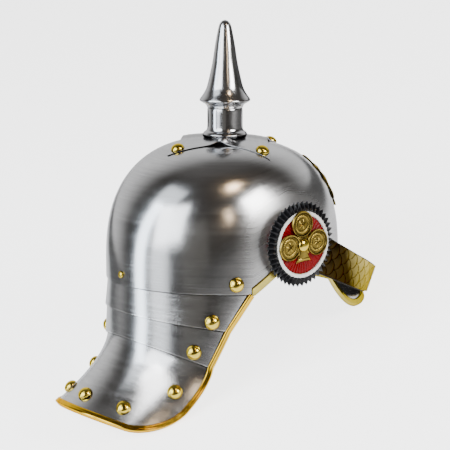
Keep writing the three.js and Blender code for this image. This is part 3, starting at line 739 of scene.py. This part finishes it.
for name, angle in [("front", 0), ("left", 90), ("back", 180), ("right", 270)]:
    x = baseStud["from"] * math.cos(math.radians(angle))
    y = baseStud["from"] * math.sin(math.radians(angle))
    point = Vector((x, y, skullTop(x, y, 0)))
    addStud("base_stud_" + name, point, skullNormal(*point), baseStud, baseStud["stand"])
for name, t, row, lift in napeStuds:
    for suffix, side in [("", 1)] if t == 0 else [("_right", -1), ("_left", 1)]:
        addStud(name + suffix, napePoint(side * t, row), napeNormal(side * t, row), stud, lift)
for suffix, side in [("_right", -1), ("_left", 1)]:
    x = skullStud["x"]
    y = side * skull["halfWidth"] * math.sqrt(1 - ((x - skull["centre"]) / skull["reach"]) ** 2)
    point = Vector((x, y, skullStud["z"]))
    addStud("skull_stud" + suffix, point, skullNormal(x, y, 0), stud, skullStud["stand"])
point = Vector((skull["centre"] - skull["reach"], 0, rivet["z"]))
addStud("back_rivet", point, Vector((-1, 0, 0)), rivet, rivet["stand"])

print("front plate")
plate = {
    "halfWidth": 58, "zMiddle": 82, "halfHeight": 32, "squareness": 2.6, "wall": 1.4, "lift": 1.5,
    "boss": 2.0, "hub": 0.02, "rays": 15, "notch": 0.1, "rayDepth": 0.5, "rayFrom": 0.45, "rayTo": 0.6,
    "ringAt": 0.42, "ringHalf": 0.06, "ringSlope": 0.05, "ringRise": 0.7,
    "domeEnd": 0.3, "domeSlope": 0.25, "domeRise": 0.5, "rayColumns": 12, "rows": 40,
}


def plateSurface(u, v):
    angle = 2 * math.pi * u
    f = max(plate["hub"], v)
    wave = u * plate["rays"] % 1
    saw = 1 - abs(2 * wave - 1)
    reach = f * (1 - saw * plate["notch"] * f)
    power = 2 / plate["squareness"]
    y = plate["halfWidth"] * reach * bent(math.cos(angle), power)
    z = plate["zMiddle"] + plate["halfHeight"] * reach * bent(math.sin(angle), power)
    scale = skullRadius(math.asin(y / skull["halfWidth"]), z)
    x = skull["centre"] + skull["reach"] * math.sqrt(scale**2 - (y / skull["halfWidth"]) ** 2)
    relief = plate["boss"] * (1 - f * f) - plate["rayDepth"] * saw * ease(f, plate["rayFrom"], plate["rayTo"])
    relief += plate["ringRise"] * ease(plate["ringHalf"] - abs(f - plate["ringAt"]), 0, plate["ringSlope"])
    relief += plate["domeRise"] * ease(plate["domeEnd"] - f, 0, plate["domeSlope"])
    lift = plate["lift"] + plate["wall"] + relief
    return Vector((x, y, z)) + skullNormal(x, y, z) * lift


bm = bmesh.new()
verts = addSheet(bm, plate["rays"] * plate["rayColumns"], plate["rows"], plateSurface)
bmesh.ops.remove_doubles(bm, verts=verts, dist=1e-3)
faceOut(bm, (0, 0, 60))
finishPiece("front_plate", bm, agedMat, wall=plate["wall"], bevel=0.15, recalc=False)

print("cockades")
cockade = {"x": 4.4, "y": 108.2, "z": 41.8}
rimLook = {
    "outer": 40.4, "inner": 32.4, "outerLift": 1.3, "innerLift": 6.1, "wall": 0.8,
    "bow": 0.66, "bowRun": 1.1, "flute": 1.3, "fluteFade": 0.75, "fluteShift": 0.6,
    "teeth": 1.9, "toothShift": 0.4,
}
ringLook = {
    "outer": 32, "inner": 28.6, "base": 3.6, "top": 6.6, "scallop": 0.22, "topScallop": 0.12,
    "roundness": 0.6,
}
discLook = {
    "radius": 28.2, "edge": 4.6, "middle": 6.0, "wall": 1.4,
    "flute": 0.6, "ridgePower": 0.7, "ridgeShift": 0.6, "fluteFrom": 0.15, "fluteTo": 0.5,
}
leafLook = {
    "turn": 3.5, "shift": -1.5, "base": 6.95,
    "lobes": [(0, 17.6), (90, 20.2), (180, 16.2)],  # angle, distance of a medal
    "medal": [(0, 0.9), (6.0, 0.9), (6.25, 1.2), (6.5, 0.9), (7.2, 0.9), (7.5, 1.3), (8.2, 1.3), (8.5, 0.9),
              (9.2, 0.9), (9.45, 1.2), (9.7, 0.9), (10.3, 0.9), (10.5, 1.2), (10.7, 0.8), (10.9, 0.8),
              (11.3, 1.9), (12.1, 2.0), (12.6, 1.4), (12.6, 0), (0, 0)],
    "beads": 30, "beadSteps": 4, "beadHeight": 0.15, "beadFrom": 7.4, "beadTo": 8.3, "beadAbove": 1,
    "hub": [(0, 0.8), (10.6, 0.8), (11, 0.5), (11, 0), (0, 0)], "hubSteps": 60,
}
stemLook = {
    "top": 4, "foot": 16.5, "neck": 4.2, "flare": 29, "power": 1.6, "bow": 0.8,
    "lift": 0.1, "rise": 0.9, "arch": 0.7, "bar": 0.5, "barAt": 0.78, "barHalf": 0.06, "barSlope": 0.05,
    "edge": 1.02, "edgeSlope": 0.1, "columns": 30, "rows": 40,
}
starLook = {"reach": 5.4, "points": 5, "wave": 0.3, "foot": 0.8, "rise": 1.3, "columns": 60, "rows": 8}
screwLook = {"radius": 6.2, "height": 3.6, "base": 8.1, "steps": 48}


def cockadePlace(side):
    spin = Matrix.Rotation(math.radians(180), 4, "Z") if side > 0 else Matrix.Identity(4)
    lean = Matrix.Rotation(math.radians(-90 * side), 4, "X")
    return Matrix.Translation((cockade["x"], side * cockade["y"], cockade["z"])) @ lean @ spin


def rimSurface(u, v):
    angle = 2 * math.pi * u
    wave = 2 * abs(2 * (u * flutes % 1) - 1) - 1
    r = lerp(rimLook["outer"], rimLook["inner"], v)
    r += rimLook["teeth"] * (wave - rimLook["toothShift"]) * (1 - v)
    depth = rimLook["flute"] * (1 - rimLook["fluteFade"] * v)
    bow = rimLook["bow"] * math.sin(math.pi * min(1, v * rimLook["bowRun"]))
    z = lerp(rimLook["outerLift"], rimLook["innerLift"], v) + bow + depth * (wave - rimLook["fluteShift"])
    return Vector((r * math.cos(angle), r * math.sin(angle), z))


def ringSurface(u, v):
    angle = 2 * math.pi * u
    around = 2 * math.pi * v
    middle, half = (ringLook["outer"] + ringLook["inner"]) / 2, (ringLook["outer"] - ringLook["inner"]) / 2
    height, tall = (ringLook["top"] + ringLook["base"]) / 2, (ringLook["top"] - ringLook["base"]) / 2
    wave = math.cos(flutes * angle) - 1
    r = middle + half * bent(math.cos(around), ringLook["roundness"])
    r += ringLook["scallop"] * wave * abs(math.cos(around))
    z = height + (tall + ringLook["topScallop"] * wave) * bent(math.sin(around), ringLook["roundness"])
    return Vector((r * math.cos(angle), r * math.sin(angle), z))


def discSurface(u, v):
    angle = 2 * math.pi * u
    r = discLook["radius"] * v
    ridge = abs(math.sin(flutes * angle / 2)) ** discLook["ridgePower"] - discLook["ridgeShift"]
    depth = discLook["flute"] * ease(v, discLook["fluteFrom"], discLook["fluteTo"])
    z = lerp(discLook["middle"], discLook["edge"], v) + depth * ridge
    return Vector((r * math.cos(angle), r * math.sin(angle), z))


# stem: across u, along v from the hub to the foot
def stemSurface(u, v):
    s = 2 * u - 1
    arch = 1 - s * s
    wide = stemLook["foot"] * math.tan(math.radians(stemLook["flare"]))
    x = s * lerp(stemLook["neck"], wide, v ** stemLook["power"])
    y = lerp(-stemLook["top"], -stemLook["foot"], v) + stemLook["bow"] * arch * v
    bar = ease(stemLook["barHalf"] - abs(v - stemLook["barAt"]), 0, stemLook["barSlope"])
    z = stemLook["rise"] + stemLook["arch"] * arch + stemLook["bar"] * bar
    for near in (abs(s), v):  # down to the disc at the sides and the foot
        z *= ease(stemLook["edge"] - near, 0, stemLook["edgeSlope"])
    return Vector((x, y, leafLook["base"] + stemLook["lift"] + z))


def starSurface(u, v):
    angle = 2 * math.pi * u
    wave = 1 - starLook["wave"] + starLook["wave"] * math.cos(starLook["points"] * angle)
    r = starLook["reach"] * v * wave
    z = starLook["foot"] + starLook["rise"] * (1 - v**2) * wave
    return Vector((r * math.cos(angle), r * math.sin(angle), z))


for suffix, side in [("_right", -1), ("_left", 1)]:
    seat = cockadePlace(side)
    for name, columns, rows, surface, slotName, mat, wall in [
        ("cockade_rim", flutes * 8, 10, rimSurface, "black_lacquer", blackMat, rimLook["wall"]),
        ("cockade_ring", flutes * 6, 20, ringSurface, "white_lacquer", whiteMat, 0),
        ("cockade_disc", flutes * 10, 24, discSurface, "red_lacquer", redMat, discLook["wall"]),
    ]:
        bm = bmesh.new()
        verts = addSheet(bm, columns, rows, surface)
        bmesh.ops.remove_doubles(bm, verts=verts, dist=1e-3)
        faceOut(bm, (0, 0, -60 if wall else 5))
        if not wall:
            bmesh.ops.recalc_face_normals(bm, faces=bm.faces)
        bmesh.ops.transform(bm, matrix=seat, verts=bm.verts)
        sharp = 25 if name == "cockade_rim" else 75
        finishPiece(name + suffix, bm, mat, wall=wall, sharp=sharp, recalc=False)
    shift = Matrix.Translation((-side * leafLook["shift"], 0, 0))
    bm = bmesh.new()
    for lobe, far in leafLook["lobes"]:
        a = math.radians(lobe + leafLook["turn"])
        spot = Matrix.Translation((far * math.cos(a), far * math.sin(a), leafLook["base"]))
        verts = addTurned(bm, leafLook["medal"], leafLook["beads"] * leafLook["beadSteps"])
        for v in verts:
            inBand = leafLook["beadFrom"] < math.hypot(v.co.x, v.co.y) < leafLook["beadTo"]
            if inBand and v.co.z > leafLook["beadAbove"]:
                v.co.z += leafLook["beadHeight"] * math.cos(leafLook["beads"] * math.atan2(v.co.y, v.co.x))
        bmesh.ops.transform(bm, matrix=spot, verts=verts)
        verts = addSheet(bm, starLook["columns"], starLook["rows"], starSurface)
        bmesh.ops.remove_doubles(bm, verts=verts, dist=1e-3)
        verts = [v for v in verts if v.is_valid]
        bmesh.ops.transform(bm, matrix=spot @ Matrix.Rotation(a - math.pi / 2, 4, "Z"), verts=verts)
    verts = addTurned(bm, leafLook["hub"], leafLook["hubSteps"])
    bmesh.ops.transform(bm, matrix=Matrix.Translation((0, 0, leafLook["base"])), verts=verts)
    verts = addSheet(bm, stemLook["columns"], stemLook["rows"], stemSurface)
    bmesh.ops.transform(bm, matrix=Matrix.Rotation(math.radians(leafLook["turn"]), 4, "Z"), verts=verts)
    bmesh.ops.transform(bm, matrix=seat @ shift, verts=bm.verts)
    finishPiece("trefoil" + suffix, bm, agedMat, sharp=50)
    bm = bmesh.new()
    verts = addTurned(bm, domeProfile(screwLook["radius"], screwLook["height"]), screwLook["steps"])
    bmesh.ops.transform(bm, matrix=seat @ shift @ Matrix.Translation((0, 0, screwLook["base"])), verts=verts)
    finishPiece("cockade_screw" + suffix, bm, brassMat, sharp=40)

print("chin strap")
strap = {
    "tilt": 25.6, "reach": 165, "halfWidth": 105.1, "squareness": 2.6, "arcMean": 0.85, "frontLift": 19,
    "liftSpan": 105, "endBack": 16, "endTaper": 0.5, "endHeight": 38, "frontHeight": 27,
    "leather": 2, "steps": 240, "stations": 400,
}
scales = {
    "pitch": 8, "across": 2, "foot": 0.35, "lip": 1.7, "length": 17, "base": 2.3, "cover": 0.46,
    "span": 0.975, "nose": 7, "noseRound": 0.98, "arch": 0.8, "rolled": 0.35, "wall": 0.4,
    "columns": 12, "rows": 8,
}
strapArc = 0.5 * math.pi * strap["arcMean"] * strap["reach"]
strapStraight = strap["endBack"] / (strap["endBack"] + strapArc)


def strapPoint(t, rise, out):
    side = math.copysign(1, t)
    arc = min(1, abs(t) / (1 - strapStraight))
    behind = max(0, abs(t) - (1 - strapStraight)) / strapStraight
    angle = math.pi / 2 * arc
    power = 2 / strap["squareness"]
    cosine, sine = max(0, math.cos(angle)), math.sin(angle)
    along = strap["reach"] * cosine**power - strap["endBack"] * behind
    across = side * strap["halfWidth"] * sine**power
    normal = Vector((cosine ** (2 - power) / strap["reach"], side * sine ** (2 - power) / strap["halfWidth"]))
    normal.normalize()
    height = lerp(strap["frontHeight"], strap["endHeight"], arc**2) * (1 - strap["endTaper"] * behind**3)
    lift = strap["frontLift"] * (1 - ease(abs(across), 0, strap["liftSpan"]))
    x, y, z = along + normal.x * out, across + normal.y * out, rise * height
    tilt = math.radians(strap["tilt"])
    return Vector((
        cockade["x"] + x * math.cos(tilt) + z * math.sin(tilt),
        y,
        cockade["z"] - x * math.sin(tilt) + z * math.cos(tilt) + lift,
    ))


def leatherSurface(u, v):
    corner = [(-0.5, 0), (0.5, 0), (0.5, 1), (-0.5, 1)][round(v * 4) % 4]
    return strapPoint(2 * u - 1, corner[0], corner[1] * strap["leather"])


bm = bmesh.new()
verts = addSheet(bm, strap["steps"], 4, leatherSurface)
bmesh.ops.remove_doubles(bm, verts=verts, dist=1e-4)
bmesh.ops.holes_fill(bm, edges=bm.edges, sides=0)
finishPiece("strap_leather", bm, leatherMat, bevel=0.3, sharp=40)

# distance along the strap from its front middle
stops = [(0, 0)]
for i in range(strap["stations"]):
    start, end = max(1e-6, i / strap["stations"]), (i + 1) / strap["stations"]
    step = strapPoint(end, 0, strap["leather"]) - strapPoint(start, 0, strap["leather"])
    stops.append((stops[-1][0] + step.length, end))


def strapAt(distance):
    for a, b in zip(stops, stops[1:]):
        if distance <= b[0]:
            return lerp(a[1], b[1], (distance - a[0]) / (b[0] - a[0]))
    return 1


strapLength = stops[-1][0] * scales["span"]
courses = round(strapLength / scales["pitch"])
scaleWidth = 2 * scales["cover"] / scales["across"]


# one scale with its rounded nose towards the front, its root under the next course
def scaleSurface(side, nose, middle):
    def surface(u, v):
        s = 2 * u - 1
        rise = max(-scales["cover"], min(scales["cover"], middle + s * scaleWidth / 2))
        curve = scales["nose"] * (1 - math.sqrt(1 - scales["noseRound"] * s * s))
        far = nose + lerp(scales["length"], curve, v)
        out = scales["base"] + lerp(scales["foot"], scales["lip"], v) - scales["arch"] * s * s
        if v > 0.99:  # the last row turns in
            out -= scales["rolled"]
        return strapPoint(side * max(1e-6, strapAt(min(strapLength, far))), rise, out)

    return surface


bm = bmesh.new()
for side in (-1, 1):
    for i in range(courses):
        count = scales["across"] + 1 - i % 2
        for k in range(count):
            middle = (k - (count - 1) / 2) * scaleWidth
            surface = scaleSurface(side, strapLength * i / courses, middle)
            addSheet(bm, scales["columns"], scales["rows"], surface)
finishPiece("strap_scales", bm, scaleMat, wall=scales["wall"], sharp=35, recalc=False)

print("stage")
floorLook = {
    "size": 8, "pale": (0.9, 0.9, 0.9), "far": (0.12, 0.119, 0.117),
    "near": (0.29, 0.44), "side": (0.27, 0.42), "spread": 0.17,
    "glow": 3.4, "mirrorGlow": 1.1, "rough": 0.7, "segments": 64,
}
floorMesh = bpy.data.meshes.new("floor")
bm = bmesh.new()
bmesh.ops.create_circle(bm, cap_ends=True, radius=floorLook["size"], segments=floorLook["segments"])
bm.to_mesh(floorMesh)
bm.free()
floor = bpy.data.objects.new("floor", floorMesh)
scene.collection.objects.link(floor)
floorMat = bpy.data.materials.new("floor")
floorMat.use_nodes = True
tree = floorMat.node_tree
shader = tree.nodes["Principled BSDF"]
ground = addNode(tree, "ShaderNodeTexCoord").outputs["Object"]
ahead = Vector((towards.x, towards.y, 0)).normalized()
aside = Vector((-ahead.y, ahead.x, 0))


# 0 on the pale paper to 1 beyond one of its edges
def paperEdge(direction, limits):
    return spread(tree, reachOf(tree, ground, direction), *limits, interpolation_type="SMOOTHSTEP")


offSides = calculate(
    tree, "MAXIMUM",
    paperEdge(ahead * floorLook["spread"] + aside, floorLook["side"]),
    paperEdge(ahead * floorLook["spread"] - aside, floorLook["side"]),
)
offPaper = calculate(tree, "MAXIMUM", paperEdge(ahead, floorLook["near"]), offSides)
# pale all over to look at, a smaller and dimmer sheet in the metal
looked = addNode(tree, "ShaderNodeLightPath").outputs["Is Camera Ray"]
dark = calculate(tree, "MULTIPLY", offPaper, calculate(tree, "SUBTRACT", 1.0, looked))
tree.links.new(between(tree, floorLook["pale"], floorLook["far"], dark), shader.inputs["Base Color"])
tree.links.new(between(tree, floorLook["pale"], (0, 0, 0), dark), shader.inputs["Emission Color"])
glow = spread(tree, looked, 0.0, 1.0, floorLook["mirrorGlow"], floorLook["glow"])
tree.links.new(glow, shader.inputs["Emission Strength"])
shader.inputs["Roughness"].default_value = floorLook["rough"]
floorMesh.materials.append(floorMat)


def heading(azimuth, elevation):
    a, e = math.radians(azimuth), math.radians(elevation)
    return Vector((math.cos(a) * math.cos(e), math.sin(a) * math.cos(e), math.sin(e)))


# a pale room, dim on the near side, with a faint light above
room = {
    "pale": (1.5, 1.5, 1.49), "dim": (0.055, 0.048, 0.042), "from": -0.85, "to": 0.0, "strength": 1.0,
    "crown": (20, 60), "crownFrom": 0.82, "crownTo": 1.0, "crownGlow": 0.1,
}
world = bpy.data.worlds.new("room")
scene.world = world
world.use_nodes = True
tree = world.node_tree
soft = {"interpolation_type": "SMOOTHSTEP"}
ray = addNode(tree, "ShaderNodeTexCoord").outputs["Generated"]
near = spread(tree, reachOf(tree, ray, towards), room["from"], room["to"], **soft)
above = reachOf(tree, ray, heading(*room["crown"]))
crown = spread(tree, above, room["crownFrom"], room["crownTo"], end=room["crownGlow"], **soft)
sky = addNode(tree, "ShaderNodeVectorMath", operation="ADD")
tree.links.new(between(tree, room["pale"], room["dim"], near), sky.inputs[0])
tree.links.new(crown, sky.inputs[1])
tree.links.new(sky.outputs[0], tree.nodes["Background"].inputs["Color"])
tree.nodes["Background"].inputs["Strength"].default_value = room["strength"]

guardOnly = bpy.data.collections.new("guardOnly")
guardOnly.objects.link(napePieces["neck_guard"])
# softboxes: azimuth, elevation, width, height, colour, strength, what they light if not everything
boxes = [
    (161, 26, 0.5, 2.2, (0.80, 0.90, 1.0), 8.0, None),
    (196, 38, 1.15, 1.25, (0.92, 0.96, 1.0), 6.5, None),
    (188, 9, 0.75, 0.8, (0.9, 0.95, 1.0), 2.0, None),
    (176, 22, 1.3, 2.2, (0.92, 0.96, 1.0), 0.6, None),
    (168, 62, 1.0, 0.9, (0.88, 0.94, 1.0), 2.4, None),
    (-138, 62, 1.15, 0.95, (1.0, 1.0, 1.0), 8.0, guardOnly),
    (-68, 20, 0.8, 0.75, (1.0, 0.99, 0.97), 18.0, None),
    (-134, 16, 0.9, 1.2, (1.0, 0.97, 0.88), 0.12, None),
    (-72, 50, 0.34, 0.28, (1.0, 0.72, 0.44), 15.0, None),
    (-98, 23, 0.16, 0.42, (1.0, 0.74, 0.48), 6.0, None),
]
lighting = {"middle": (0.03, 0, 0.13), "distance": 2.0}
for i, (azimuth, elevation, width, height, colour, strength, lights) in enumerate(boxes):
    direction = heading(azimuth, elevation)
    lampData = bpy.data.lights.new(f"box{i}", "AREA")
    lampData.shape = "RECTANGLE"
    lampData.size, lampData.size_y = width, height
    lampData.color = colour
    lampData.energy = strength * width * height * math.pi
    lamp = bpy.data.objects.new(f"box{i}", lampData)
    scene.collection.objects.link(lamp)
    lamp.location = Vector(lighting["middle"]) + direction * lighting["distance"]
    lamp.rotation_euler = direction.to_track_quat("Z", "Y").to_euler()
    lamp.visible_camera = False
    if lights:
        lamp.light_linking.receiver_collection = lights
